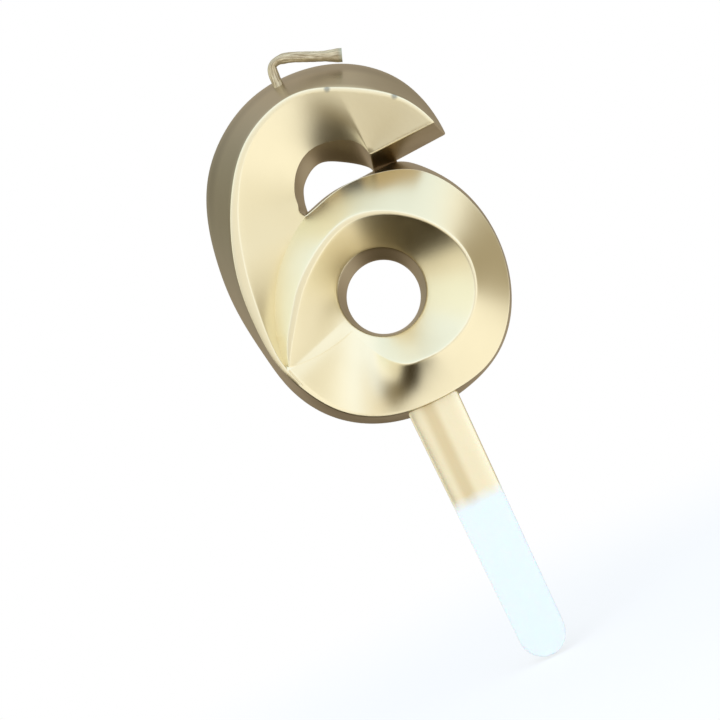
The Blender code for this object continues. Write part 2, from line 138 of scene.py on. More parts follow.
# The same edge on the flat back: rim angle, X, Z.
STEM_FOOT_BACK = (
    (77.3, 9.1, 47.2), (85, 7.5, 49.6), (90, 4.3, 51.8), (98, 0.3, 53.4), (108, -3.2, 51.9),
    (118, -4.95, 49.8), (124.5, -5.5, 48.3), (131, -5.85, 46.6), (135, -6.05, 44.6),
    (139, -6.6, 42.2), (148, -10.3, 38.6), (158, -14.2, 33.5), (168, -17.0, 28.0),
    (184, -18.6, 21.0), (200, -17.6, 15.0),
)
# The stem's foot runs on inside the bowl: from nothing at one rim angle to full at another.
STEM_BURIED = (131.0, 139.0, 4.0)
STEEPEST_BURIED = 1.6
# The cut end leans back by this many degrees, and stops leaning after this many.
END_LEAN = (4.7, 20.0)
# The thin bridge of wax in the notch: X from its thick end to its tip, Z, height at the thick end.
WEB_X = (9.2, 14.2)
WEB_Z = (45.6, 49.1)
WEB_HEIGHT = 3.5

# Section detail: rounding at each corner and pieces between the corners, in the corners' order.
ROUND_STEPS = 4
SLOPE_STEPS = 10
WALL_STEPS = 7
LONGEST_CUT = 0.45
CLEAR = 0.02
END_ROUNDING = 0.35
END_ROUNDING_REACH = 1.3
STEM_ROUNDING = (0.4, 0.2, 0.22, 0.0, 0.45, 0.3)
STEM_SPANS = (WALL_STEPS, 2, SLOPE_STEPS, 2, WALL_STEPS, 6)
BOWL_ROUNDING = (0.3, 0.45, 0.2, 0.2, 0.12, 0.22, 0.4)
BOWL_SPANS = (WALL_STEPS, SLOPE_STEPS, 1, SLOPE_STEPS, 1, WALL_STEPS, 6)
# The ridge's extra rounding: full at the first angle, gone at the second, and how much.
SOFT_RIDGE = (232.0, 268.0, 2.4)
WAX_SHARP_ANGLE = 34

# Stick: half widths, then the heights at which the head changes.
STICK_HALF_TOP = 5.25
STICK_HALF_LOW = 4.65
HEAD_NECK_HALF = 3.5
HEAD_BARB_HALF = 4.7
HEAD_TOP_HALF = 1.6
NARROWEST_HALF = 0.25
NECK_LOW = 1.5
NECK_HIGH = 3.4
BARB_LOW = 4.0
BARB_HIGH = 4.6
BARB_TOP = 5.8
STICK_SIDES = 48
STICK_SQUARENESS = 0.28
TIP_STEPS = 14
BLADE_STEPS = 70
HEAD_STEPS = 24
STICK_SHARP_ANGLE = 50
STICK_GOLD_END = -18.6
STREAK_X = -1.3

# Wick: half sizes, growth at the cut end, pinch at the fold, and reach of each bend's blend.
WICK_HALF_WIDTH = 1.02
WICK_HALF_DEPTH = 0.96
WICK_CUT_GROWTH = 0.34
WICK_PINCH = (0.22, 0.15)
CORD_SIDES = 56
CORD_STEP = 0.09
CORD_SQUARENESS = 0.8
CORD_SHARP_ANGLE = 55
CORD_SPACE = "cord_space"
PIECES_MEET = 0.95

# Paint.  In a pair, the noise runs from the first colour to the second.
GOLD_FACE = ((0.92, 0.82, 0.57), (0.88, 0.78, 0.53))
# Side walls: a darker, browner gold that is partly duller spray and partly painted shade.
GOLD_WALL_SPRAY_AND_SHADE = ((0.54, 0.445, 0.285), (0.48, 0.395, 0.25))
# Painted shade: a dark brown laid on the wax deep in the notch.
NOTCH_PAINTED_SHADE = (0.20, 0.14, 0.08)
WORN_LACQUER = (0.31, 0.31, 0.26)
CORD_STRANDS = ((0.72, 0.62, 0.41), (0.29, 0.21, 0.115))
CORD_CUT = (0.42, 0.43, 0.32)
MILKY_PLASTIC = (0.79, 0.865, 0.88)
STICK_GOLD = (0.93, 0.83, 0.58)
STICK_STREAK = (0.72, 0.58, 0.33)
# Lacquer rubbed off the rim: X and Z, then full and fading radius in metres.
WORN_SPOTS = ((7.2, 64.3), (18.2, 57.6))
WORN_REACH = (0.0003, 0.0008)

# Camera and light, in metres.
RIM_Y = wax_low[1]
VIEW_DISTANCE = 0.400
VIEW_WIDTH = 0.1368
VIEW_CENTRE = (-0.0092, 0.0151)
ROLL = math.radians(25.4)
KEY_PLACE = (-0.20, -0.50, 0.40)
KEY_SIZE = 0.40
KEY_POWER = 0.6
FLOOR_SIZE = 40.0
FLOOR_DROP = 0.0005
FLOOR_SHADE = (0.94, 0.94, 0.94)
FLOOR_FADE = (0.02, 0.22)
# What the lacquer reflects: azimuth about the line of sight (0 right, 90 up), angle off that
# line, inner and outer angle of the soft patch, colour.  Later patches lie over earlier ones.
ROOM_COLOUR = (1.17, 1.18, 1.16)
ROOM = (
    (75, 38, 25, 60, (1.14, 1.27, 1.50)),
    (0, 180, 40, 75, (0.55, 0.50, 0.42)),
    (285, 165, 20, 42, (0.44, 0.37, 0.27)),
    (310, 112, 20, 40, (1.10, 1.10, 1.05)),
    (15, 120, 20, 42, (0.36, 0.33, 0.25)),
    (150, 125, 15, 40, (0.36, 0.36, 0.30)),
    (70, 82, 25, 48, (0.94, 1.10, 1.28)),
    (115, 92, 20, 42, (0.98, 1.15, 1.36)),
    (150, 74, 12, 30, (1.02, 1.12, 1.12)),
    (188, 66, 8, 24, (0.92, 0.90, 0.78)),
    (350, 62, 8, 24, (0.86, 0.84, 0.74)),
    (356, 90, 15, 30, (0.40, 0.35, 0.25)),
    (208, 28, 13, 27, (0.22, 0.175, 0.09)),
    (0, 0, 2, 14, (0.97, 0.88, 0.68)),
    (240, 114, 30, 50, (0.07, 0.05, 0.02)),
    (225, 58, 15, 31, (0.05, 0.034, 0.012)),
    (231, 84, 27, 44, (0.03, 0.02, 0.006)),
)


def smooth_through(knots):
    """A function of the knots' first value, as a natural cubic spline through the rest."""
    table = np.array(knots, dtype=float)
    x = table[:, 0]
    y = table[:, 1:]
    gap = np.diff(x)
    count = len(x)
    left = np.eye(count)
    right = np.zeros_like(y)
    for i in range(1, count - 1):
        left[i, i - 1:i + 2] = gap[i - 1], 2 * (gap[i - 1] + gap[i]), gap[i]
        right[i] = 6 * ((y[i + 1] - y[i]) / gap[i] - (y[i] - y[i - 1]) / gap[i - 1])
    bend = np.linalg.solve(left, right)

    def value(at):
        at = min(max(at, x[0]), x[-1])
        i = min(int(np.searchsorted(x, at, side="right")) - 1, count - 2)
        a = (x[i + 1] - at) / gap[i]
        b = 1 - a
        curve = ((a ** 3 - a) * bend[i] + (b ** 3 - b) * bend[i + 1]) * gap[i] ** 2 / 6
        return a * y[i] + b * y[i + 1] + curve

    return value


def ramp(at, low, high):
    """0 below low, 1 above high, and a smooth step between."""
    share = min(max((at - low) / (high - low), 0.0), 1.0)
    return share * share * (3 - 2 * share)


rim_radius = smooth_through(RIM_RADIUS)
back_radius = smooth_through(BACK_RADIUS)
bowl_rim_height = smooth_through(BOWL_RIM_HEIGHT)
rim_land = smooth_through(RIM_LAND)
bowl_ridge = smooth_through(BOWL_RIDGE)
stem_foot = smooth_through(STEM_FOOT)
stem_foot_back = smooth_through(STEM_FOOT_BACK)


def on_spiral(angle, radius):
    """X and Z of a point at an angle and radius about the spiral centre."""
    turn = math.radians(angle)
    return np.array([
        SPIRAL_CENTRE[0] + radius * math.cos(turn),
        SPIRAL_CENTRE[1] + radius * math.sin(turn),
    ])


def on_circle(circle, angle):
    """X and Z of a point on a round hole's edge."""
    turn = math.radians(angle)
    return np.array([circle[0] + circle[2] * math.cos(turn), circle[1] + circle[2] * math.sin(turn)])


def at_height(point, height):
    """A point of the wax in millimetres, from its X and Z and its height above the flat back."""
    return np.array([point[0], BACK_Y - height, point[1]])


def rounded_loop(corners, rounding, spans):
    """A closed section with its corners rounded and its sides divided, always with the same count.

    spans[i] is the number of pieces between corner i and corner i + 1.
    """
    count = len(corners)
    points = []
    for i in range(count):
        j = (i + 1) % count
        here = corners[i]
        before = corners[i - 1]
        after = corners[j]
        back_length = np.linalg.norm(here - before)
        length = np.linalg.norm(after - here)
        cut_back = min(rounding[i], LONGEST_CUT * back_length)
        cut_ahead = min(rounding[i], LONGEST_CUT * length)
        next_cut = min(rounding[j], LONGEST_CUT * length)
        start = here + (before - here) / max(back_length, 1e-9) * cut_back
        stop = here + (after - here) / max(length, 1e-9) * cut_ahead
        for k in range(ROUND_STEPS):
            t = k / ROUND_STEPS
            points.append((1 - t) ** 2 * start + 2 * t * (1 - t) * here + t * t * stop)
        leave = after + (here - after) / max(length, 1e-9) * next_cut
        for k in range(spans[i]):
            points.append(stop + (leave - stop) * (k / spans[i]))
    return points


def stem_corners(angle, apex_lift):
    """Corners of the stem's section at one rim angle: back, rim, land, foot, buried foot, back."""
    sunk = ramp(angle, MEETING_ANGLE, STEM_TOE_ANGLE) * TOE_DIP
    lean = END_LEAN[0] * (1 - min((angle - STROKE_END_ANGLE) / END_LEAN[1], 1.0))
    rim = on_spiral(angle, float(rim_radius(angle)[0]) - sunk)
    back = on_spiral(angle - lean, float(back_radius(angle - lean)[0]) - sunk)
    x, z, foot_height = stem_foot(angle)
    lift = apex_lift * (1 - ramp(angle, STEM_FOOT[0][0], STEM_FOOT[1][0]))
    foot = np.array([x, z + lift])
    foot_back = np.array(stem_foot_back(angle)) + np.array([0.0, lift])
    inward = (foot - rim) / np.linalg.norm(foot - rim)
    land = rim + inward * float(rim_land(angle)[0])
    top = WAX_DEPTH - sunk
    run = np.linalg.norm(foot - land)
    buried = ramp(angle, STEM_BURIED[0], STEM_BURIED[1]) * STEM_BURIED[2] + 0.001
    drop = min((top - foot_height) / run, STEEPEST_BURIED)
    deep = foot + inward * buried
    return [
        at_height(back, 0.0),
        at_height(rim, top),
        at_height(land, top),
        at_height(foot, foot_height - sunk),
        at_height(deep, foot_height - sunk - drop * buried),
        at_height(foot_back, 0.0),
    ]


def stem_section(angle):
    """Rounded section of the stem."""
    return rounded_loop(stem_corners(angle, END_ROUNDING), STEM_ROUNDING, STEM_SPANS)


def bowl_corners(angle):
    """Corners of the bowl's section: hole at the back, hole at the front, ridge, rim, back."""
    counter_back = on_circle(COUNTER_BACK, angle)
    counter = on_circle(COUNTER_FRONT, angle)
    buried = 1 - ramp(angle, MEETING_ANGLE, MEETING_ANGLE + 4)
    radius = float(rim_radius(angle)[0]) - HAND_OVER * buried
    outer = float(back_radius(angle)[0]) - HAND_OVER * buried
    land = float(rim_land(angle)[0])
    rim_height = float(bowl_rim_height(angle)[0])
    if angle < MEETING_ANGLE:
        rising = (angle - BOWL_START_ANGLE) / (MEETING_ANGLE - BOWL_START_ANGLE)
        start_height = BOWL_RIM_HEIGHT[-1][1]
        rim_height = start_height + (WAX_DEPTH - start_height) * rising ** 2
        land = RIM_LAND[-1][1] + (land - RIM_LAND[-1][1]) * rising ** 2
    rim_height = min(rim_height, WAX_DEPTH - CLEAR)
    rim_in = radius - land
    ridge_angle = angle if angle > BOWL_RIDGE[0][0] else angle + 360
    ridge_height = None
    if ridge_angle <= BOWL_RIDGE[-1][0] + 0.01:
        ridge, ridge_height, ridge_land = bowl_ridge(ridge_angle)
    else:
        share = (angle - MEETING_ANGLE) / (BOWL_RIDGE[0][0] - MEETING_ANGLE)
        ridge = BOWL_RIDGE[-1][1] + (BOWL_RIDGE[0][1] - BOWL_RIDGE[-1][1]) * share
        ridge_land = 0.1
    counter_radius = np.linalg.norm(counter - np.array(SPIRAL_CENTRE))
    straight = COUNTER_EDGE_HEIGHT + (rim_height - COUNTER_EDGE_HEIGHT) * (
        (ridge - counter_radius) / (rim_in - counter_radius))
    grown = 1.0
    if ridge_height is None:
        grown = 0.0
        ridge_height = straight
    elif BOWL_RIDGE[0][0] < angle < RIDGE_GROWN_ANGLE:
        grown = ramp(angle, BOWL_RIDGE[0][0], RIDGE_GROWN_ANGLE)
        ridge_height = straight + (ridge_height - straight) * grown
    ridge_height = min(ridge_height, WAX_DEPTH - CLEAR)
    ridge_out = min(ridge + ridge_land / 2, rim_in - CLEAR)
    ridge_in = min(ridge - ridge_land / 2, ridge_out - CLEAR)
    edge = on_spiral(angle, rim_in)

    def ridge_point(at):
        """Straight out from the centre, or on the bare slope's own line where the ridge fades."""
        slope = counter + (edge - counter) * ((at - counter_radius) / (rim_in - counter_radius))
        return slope + (on_spiral(angle, at) - slope) * grown

    return [
        at_height(counter_back, 0.0),
        at_height(counter, COUNTER_EDGE_HEIGHT),
        at_height(ridge_point(ridge_in), ridge_height),
        at_height(ridge_point(ridge_out), ridge_height),
        at_height(edge, rim_height),
        at_height(on_spiral(angle, radius), rim_height),
        at_height(on_spiral(angle, outer), 0.0),
    ]


def bowl_section(angle):
    """Rounded section of the bowl; the ridge starts soft where it grows out of the hole's edge."""
    rounding = list(BOWL_ROUNDING)
    low, high, extra = SOFT_RIDGE
    if angle < high:
        soft = rounding[2] + extra * (1 - ramp(angle, low, high)) * ramp(angle, MEETING_ANGLE, low)
        rounding[2] = soft
        rounding[3] = soft
    return rounded_loop(bowl_corners(angle), rounding, BOWL_SPANS)


def skin(name, sections, closed, spaces=None):
    """A closed mesh object through sections of equal length, in millimetres.

    spaces, shaped like sections, gives each vertex a place in the material's own space.
    """
    mesh = bmesh.new()
    layer = mesh.verts.layers.float_vector.new(CORD_SPACE) if spaces else None
    rows = [[mesh.verts.new(Vector(point) * MM) for point in section] for section in sections]
    if spaces:
        for row, places in zip(rows, spaces):
            for vertex, place in zip(row, places):
                vertex[layer] = Vector(place)
    width = len(rows[0])
    pairs = list(zip(rows, rows[1:]))
    if closed:
        pairs.append((rows[-1], rows[0]))
    for here, there in pairs:
        for i in range(width):
            j = (i + 1) % width
            mesh.faces.new((here[i], here[j], there[j], there[i]))
    if not closed:
        mesh.faces.new(rows[0])
        mesh.faces.new(list(reversed(rows[-1])))
    bmesh.ops.remove_doubles(mesh, verts=mesh.verts, dist=2e-7)
    bmesh.ops.dissolve_degenerate(mesh, dist=1e-7, edges=mesh.edges)
    bmesh.ops.recalc_face_normals(mesh, faces=mesh.faces)
    data = bpy.data.meshes.new(name)
    mesh.to_mesh(data)
    mesh.free()
    made = bpy.data.objects.new(name, data)
    bpy.context.scene.collection.objects.link(made)
    return made


def stem_sections():
    """Sections of the stem, with the edges of the stroke's cut end rounded over."""
    first = STROKE_END_ANGLE + 0.5
    count = round((STEM_TOE_ANGLE - first) / STEM_STEP)
    body = [stem_section(a) for a in np.linspace(first, STEM_TOE_ANGLE, count + 1)]
    edge = rounded_loop(stem_corners(STROKE_END_ANGLE, 0.0), STEM_ROUNDING, STEM_SPANS)
    middle = sum(edge) / len(edge)
    inner = []
    for point in edge:
        towards = middle - point
        inner.append(point + towards / np.linalg.norm(towards) * END_ROUNDING * END_ROUNDING_REACH)
    rings = []
    for k in range(1, ROUND_STEPS + 1):
        t = k / ROUND_STEPS
        rings.append([
            (1 - t) ** 2 * a + 2 * t * (1 - t) * b + t * t * c
            for a, b, c in zip(body[0], edge, inner)
        ])
    return list(reversed(rings)) + body


def wedge(name):
    """The thin bridge of wax in the notch: a block whose height falls to nothing at its tip."""
    profile = ((WEB_X[0], 0.0), (WEB_X[1], 0.0), (WEB_X[0], WEB_HEIGHT))
    low = [at_height((x, WEB_Z[0]), height) for x, height in profile]
    high = [at_height((x, WEB_Z[1]), height) for x, height in profile]
    return skin(name, [low, high], False)


def fuse(target, tool):
    """Make the tool part of the target with an exact Boolean union."""
    step = target.modifiers.new("join", "BOOLEAN")
    step.operation = "UNION"
    step.solver = "EXACT"
    step.object = tool
    bpy.context.view_layer.update()
    evaluated = target.evaluated_get(bpy.context.evaluated_depsgraph_get())
    data = bpy.data.meshes.new_from_object(evaluated)
    target.modifiers.clear()
    target.data = data
    bpy.data.objects.remove(tool, do_unlink=True)


def wax_numeral():
    """The wax casting as one mesh."""
    stem = skin("numeral_six_wax_casting", stem_sections(), False)
    ring = np.linspace(BOWL_START_ANGLE, BOWL_START_ANGLE + 360, round(360 / BOWL_STEP) + 1)[:-1]
    bowl = skin("bowl", [bowl_section(a) for a in ring], True)
    fuse(stem, bowl)
    fuse(stem, wedge("web"))
    stem.data.shade_smooth()
    stem.data.set_sharp_from_angle(angle=math.radians(WAX_SHARP_ANGLE))
    return stem


def squared(value, power):
    """A sine or cosine pushed out towards 1 or -1, which turns a circle into a rounded square."""
    return math.copysign(abs(value) ** power, value)


def stick_half_width(z):
    """Half width of the stick at a height: round tip, tapered blade, barbed head."""
    tip = stick_low[2] / MM
    top = stick_high[2] / MM
    centre = tip + STICK_HALF_LOW
    if z < centre:
        return math.sqrt(max(STICK_HALF_LOW ** 2 - (centre - z) ** 2, 0.0))
    if z < NECK_LOW:
        return STICK_HALF_LOW + (STICK_HALF_TOP - STICK_HALF_LOW) * (z - centre) / (NECK_LOW - centre)
    if z < NECK_HIGH:
        return STICK_HALF_TOP + (HEAD_NECK_HALF - STICK_HALF_TOP) * ramp(z, NECK_LOW, NECK_HIGH)
    if z < BARB_HIGH:
        return HEAD_NECK_HALF + (HEAD_BARB_HALF - HEAD_NECK_HALF) * ramp(z, BARB_LOW, BARB_HIGH)
    if z < BARB_TOP:
        return HEAD_BARB_HALF
    return HEAD_BARB_HALF + (HEAD_TOP_HALF - HEAD_BARB_HALF) * (z - BARB_TOP) / (top - BARB_TOP)


def plastic_stick():
    """The stick as a skin over rounded, slightly crowned sections."""
    tip = stick_low[2] / MM
    top = stick_high[2] / MM
    half_thick = (stick_high[1] - stick_low[1]) / MM / 2
    middle = (stick_high[1] + stick_low[1]) / MM / 2
    heights = []
    for k in range(TIP_STEPS):
        turn = math.pi / 2 * k / TIP_STEPS
        heights.append(tip + CLEAR + STICK_HALF_LOW * (1 - math.cos(turn)))
    heights += list(np.linspace(tip + STICK_HALF_LOW, NECK_LOW, BLADE_STEPS))
    heights += list(np.linspace(NECK_LOW, top, HEAD_STEPS))[1:]
    sections = []
    for z in heights:
        half = max(stick_half_width(z), NARROWEST_HALF)
        thick = half_thick * min(1.0, 0.45 + half / 2.2)
        section = []
        for k in range(STICK_SIDES):
            turn = 2 * math.pi * (k + 0.5) / STICK_SIDES
            x = half * squared(math.cos(turn), STICK_SQUARENESS)
            y = middle + thick * squared(math.sin(turn), STICK_SQUARENESS)
            section.append(np.array([x, y, z]))
        sections.append(section)
    made = skin("plastic_stick_blade", sections, False)
    made.data.shade_smooth()
    made.data.set_sharp_from_angle(angle=math.radians(STICK_SHARP_ANGLE))
    return made


def cord_line():
    """Centre line of the wick: (distance, x, z) knots from inside the wax to the cut end."""
    lean = LEAN_PIVOT / MM
    fold = FOLD_PIVOT / MM
    cut = Vector((end_high[0] / MM - 0.45, 0.0, end_low[2] / MM + 1.35))
    places = [
        (lean.x, lean.z - 7.0),
        (lean.x, lean.z - 3.0),
        (lean.x, lean.z),
        (lean.x + 0.12, lean.z + 1.5),
        (fold.x - 0.38, fold.z - 0.25),
        (fold.x + 0.9, fold.z + 0.22),
        (fold.x + 2.7, fold.z - 0.02),
        (fold.x + 5.2, fold.z - 1.00),
        (fold.x + 8.5, fold.z - 2.45),
        (cut.x, cut.z),
    ]
    knots = []
    travelled = 0.0
    for i, (x, z) in enumerate(places):
        if i:
            travelled += math.dist((x, z), places[i - 1])
        knots.append((travelled, x, z))
    return knots


def cord(name, line, start, stop, length, fold_at, y):
    """A stiff painted cord of lengthwise strands between two distances along the wick.

    It is pinched at the fold and flares towards the cut end.
    """
    sections = []
    spaces = []
    count = round((stop - start) / CORD_STEP)
    for i in range(count + 1):
        along = start + (stop - start) * i / count
        x, z = line(along)
        ahead = np.array(line(min(along + 0.05, length))) - np.array(line(max(along - 0.05, 0.0)))
        ahead = ahead / np.linalg.norm(ahead)
        side = np.array([-ahead[1], ahead[0]])
        flare = 1 + WICK_CUT_GROWTH * ramp(along, length - 4.0, length - 0.2)
        pinch = 1 - ramp(abs(along - fold_at), 0.3, 2.2)
        wide = WICK_HALF_WIDTH * flare * (1 - WICK_PINCH[0] * pinch)
        thick = WICK_HALF_DEPTH * flare * (1 + WICK_PINCH[1] * pinch)
        section = []
        space = []
        for k in range(CORD_SIDES):
            turn = 2 * math.pi * k / CORD_SIDES
            c = math.cos(turn)
            s = math.sin(turn)
            lay = turn + 0.06 * along
            strand = 0.045 * abs(math.cos(3.5 * lay)) + 0.02 * math.sin(11 * lay + 1.3 * math.sin(along))
            weave = 0.012 * math.sin(along * 4.2 + 2 * turn)
            r = 0.97 + strand + weave
            across = wide * r * squared(c, CORD_SQUARENESS)
            deep = thick * r * squared(s, CORD_SQUARENESS)
            section.append(np.array([x + side[0] * across, y + deep, z + side[1] * across]))
            space.append((c, s, along))
        sections.append(section)
        spaces.append(space)
    made = skin(name, sections, False, spaces)
    made.data.shade_smooth()
    made.data.set_sharp_from_angle(angle=math.radians(CORD_SHARP_ANGLE))
    return made


# Materials.

def nodes_of(name):
    """A new node material: its tree and its Principled node."""
    made = bpy.data.materials.new(name)
    made.use_nodes = True
    tree = made.node_tree
    return made, tree, tree.nodes["Principled BSDF"]


def add(tree, kind, **values):
    """A node with plain attributes set."""
    node = tree.nodes.new(kind)
    for key, value in values.items():
        setattr(node, key, value)
    return node


def noise_node(tree, place, scale, detail=3.0, roughness=0.5):
    """A noise texture in the space of the place given."""
    node = add(tree, "ShaderNodeTexNoise")
    node.inputs["Scale"].default_value = scale
    node.inputs["Detail"].default_value = detail
    node.inputs["Roughness"].default_value = roughness
    tree.links.new(place, node.inputs["Vector"])
    return node


def map_range(tree, value, low, high, to_low, to_high, kind="LINEAR"):
    """A clamped map range node's output."""
    node = add(tree, "ShaderNodeMapRange", interpolation_type=kind)
    tree.links.new(value, node.inputs["Value"])
    for key, number in (("From Min", low), ("From Max", high), ("To Min", to_low), ("To Max", to_high)):
        node.inputs[key].default_value = number
    return node.outputs["Result"]


def mix_colour(tree, factor, first, second):
    """A colour mix; first and second are sockets or plain colours."""
    node = add(tree, "ShaderNodeMix", data_type="RGBA")
    tree.links.new(factor, node.inputs["Factor"])
    for socket, source in ((node.inputs[6], first), (node.inputs[7], second)):
        if isinstance(source, tuple):
            socket.default_value = (*source, 1.0)
        else:
            tree.links.new(source, socket)
    return node.outputs[2]


def bump_normal(tree, height, strength, distance, under=None):
    """A bump's normal from a height output, laid over another normal if one is given."""
    node = add(tree, "ShaderNodeBump")
    node.inputs["Strength"].default_value = strength
    node.inputs["Distance"].default_value = distance
    tree.links.new(height, node.inputs["Height"])
    if under:
        tree.links.new(under, node.inputs["Normal"])
    return node.outputs["Normal"]


def separate(tree, vector):
    """The X, Y and Z outputs of a vector."""
    node = add(tree, "ShaderNodeSeparateXYZ")
    tree.links.new(vector, node.inputs["Vector"])
    return node.outputs


def gold_wax():
    """Satin gold lacquer on cast wax: bright on the faces; on the side walls darker and browner, partly
    duller spray and partly painted shade.
    """
    made, tree, surface = nodes_of("gold_lacquer_on_wax")
    place = add(tree, "ShaderNodeTexCoord")
    normal_y = separate(tree, place.outputs["Normal"])["Y"]
    facing = add(tree, "ShaderNodeMath", operation="ABSOLUTE")
    tree.links.new(normal_y, facing.inputs[0])
    # Side walls, picked by which way the surface faces, get a darker browner gold: partly duller spray,
    # partly painted shade.
    wall = map_range(tree, facing.outputs["Value"], 0.38, 0.52, 1.0, 0.0, "SMOOTHSTEP")
    cloud = noise_node(tree, place.outputs["Object"], 90.0, 4.0)
    face_colour = mix_colour(tree, cloud.outputs["Fac"], *GOLD_FACE)
    wall_spray_and_shade = mix_colour(tree, cloud.outputs["Fac"], *GOLD_WALL_SPRAY_AND_SHADE)
    colour = mix_colour(tree, wall, face_colour, wall_spray_and_shade)
    # Painted shade: front-facing wax that lies low, deep in the notch, is darkened towards dark brown.
    front = map_range(tree, normal_y, -0.6, -0.3, 1.0, 0.0)
    depth = separate(tree, place.outputs["Object"])["Y"]
    deep = map_range(tree, depth, (BACK_Y - 6.0) * MM, (BACK_Y - 3.5) * MM, 0.0, 1.0)
    notch_painted_shade = add(tree, "ShaderNodeMath", operation="MULTIPLY")
    tree.links.new(front, notch_painted_shade.inputs[0])
    tree.links.new(deep, notch_painted_shade.inputs[1])
    colour = mix_colour(tree, notch_painted_shade.outputs["Value"], colour, NOTCH_PAINTED_SHADE)
    for x, z in WORN_SPOTS:
        reach = add(tree, "ShaderNodeVectorMath", operation="DISTANCE")
        tree.links.new(place.outputs["Object"], reach.inputs[0])
        reach.inputs[1].default_value = (x * MM, RIM_Y, z * MM)
        worn = map_range(tree, reach.outputs["Value"], *WORN_REACH, 0.8, 0.0)
        colour = mix_colour(tree, worn, colour, WORN_LACQUER)
    tree.links.new(colour, surface.inputs["Base Color"])
    surface.inputs["Metallic"].default_value = 1.0
    rough = map_range(tree, cloud.outputs["Fac"], 0.3, 0.7, 0.28, 0.35)
    tree.links.new(rough, surface.inputs["Roughness"])
    fine = noise_node(tree, place.outputs["Object"], 1400.0, 3.0)
    broad = noise_node(tree, place.outputs["Object"], 150.0, 0.0)
    grain = bump_normal(tree, fine.outputs["Fac"], 0.03, 0.0002)
    waves = bump_normal(tree, broad.outputs["Fac"], 0.025, 0.001, grain)
    tree.links.new(waves, surface.inputs["Normal"])
    return made


def gold_cord(length):
    """Gold lacquer on stiff cotton: lengthwise strands, browner between them, grey at the cut."""
    made, tree, surface = nodes_of("gold_lacquer_on_cotton")
    place = add(tree, "ShaderNodeAttribute", attribute_name=CORD_SPACE)
    stretch = add(tree, "ShaderNodeVectorMath", operation="MULTIPLY")
    tree.links.new(place.outputs["Vector"], stretch.inputs[0])
    stretch.inputs[1].default_value = (3.2, 3.2, 0.22)
    strands = noise_node(tree, stretch.outputs["Vector"], 1.6, 5.0, 0.6)
    share = map_range(tree, strands.outputs["Fac"], 0.38, 0.66, 0.0, 1.0)
    colour = mix_colour(tree, share, *CORD_STRANDS)
    along = separate(tree, place.outputs["Vector"])["Z"]
    cut = map_range(tree, along, length - 0.9, length - 0.1, 0.0, 0.8)
    tree.links.new(mix_colour(tree, cut, colour, CORD_CUT), surface.inputs["Base Color"])
    surface.inputs["Metallic"].default_value = 0.7
    surface.inputs["Roughness"].default_value = 0.36
    fibre = noise_node(tree, stretch.outputs["Vector"], 9.0, 3.0, 0.6)
    tree.links.new(bump_normal(tree, fibre.outputs["Fac"], 0.30, 0.0001), surface.inputs["Normal"])
    return made


def stick_plastic():
    """Milky plastic with a gold over-spray that fades out down the blade."""
    made, tree, surface = nodes_of("milky_plastic_with_gold_spray")
    place = add(tree, "ShaderNodeTexCoord")
    spot = separate(tree, place.outputs["Object"])
    speckle = noise_node(tree, place.outputs["Object"], 700.0, 5.0, 0.7)
    edge = add(tree, "ShaderNodeMath", operation="MULTIPLY_ADD")
    tree.links.new(speckle.outputs["Fac"], edge.inputs[0])
    edge.inputs[1].default_value = 0.0016
    tree.links.new(spot["Z"], edge.inputs[2])
    low = (STICK_GOLD_END - 0.6) * MM
    high = (STICK_GOLD_END + 2.2) * MM
    gold = map_range(tree, edge.outputs["Value"], low, high, 0.0, 1.0)
    across = add(tree, "ShaderNodeMath", operation="SUBTRACT")
    tree.links.new(spot["X"], across.inputs[0])
    across.inputs[1].default_value = STREAK_X * MM
    away = add(tree, "ShaderNodeMath", operation="ABSOLUTE")
    tree.links.new(across.outputs["Value"], away.inputs[0])
    streak = map_range(tree, away.outputs["Value"], 0.0004, 0.0021, 0.75, 0.0, "SMOOTHSTEP")
    gold_colour = mix_colour(tree, streak, STICK_GOLD, STICK_STREAK)
    colour = mix_colour(tree, gold, MILKY_PLASTIC, gold_colour)
    tree.links.new(colour, surface.inputs["Base Color"])
    metal = map_range(tree, gold, 0.0, 1.0, 0.0, 0.7)
    tree.links.new(metal, surface.inputs["Metallic"])
    rough = map_range(tree, gold, 0.0, 1.0, 0.38, 0.33)
    tree.links.new(rough, surface.inputs["Roughness"])
    surface.inputs["Subsurface Weight"].default_value = 0.25
    surface.inputs["Subsurface Scale"].default_value = 0.002
    ripple = noise_node(tree, place.outputs["Object"], 260.0, 3.0)
    tree.links.new(bump_normal(tree, ripple.outputs["Fac"], 0.05, 0.0008), surface.inputs["Normal"])
    return made


def paint(piece, made):
    """Give a piece its one material."""
    piece.data.materials.clear()
    piece.data.materials.append(made)


# The object.

def place_casting():
    """The gold numeral."""
    casting = wax_numeral()
    paint(casting, gold_wax())
    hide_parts("numeral_six_wax")
    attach(casting, "candle")


def place_stick():
    """The stick, which is cast into the wax."""
    blade = plastic_stick()
    paint(blade, stick_plastic())
    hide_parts("plastic_stick")
    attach(blade, "candle")


def place_wick():
    """The wick in two lengths that meet in the standing leg; its line bends at the lean and fold pivots.
    """
    knots = cord_line()
    line = smooth_through(knots)
    length = knots[-1][0]
    meet_at = knots[2][0] + PIECES_MEET
    fold_at = knots[4][0] + 0.6
    wick_y = LEAN_PIVOT.y / MM
    lower = cord("wick_lower_cord", line, 0.0, meet_at, length, fold_at, wick_y)
    upper = cord("wick_upper_cord", line, meet_at, length, length, fold_at, wick_y)
    cotton = gold_cord(length)
    for piece in (lower, upper):
        paint(piece, cotton)
    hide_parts("wick_in_wax", "wick_leg")
    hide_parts("wick_free_end")
    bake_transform(lower)
    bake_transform(upper)


# Stage: floor, light and camera.

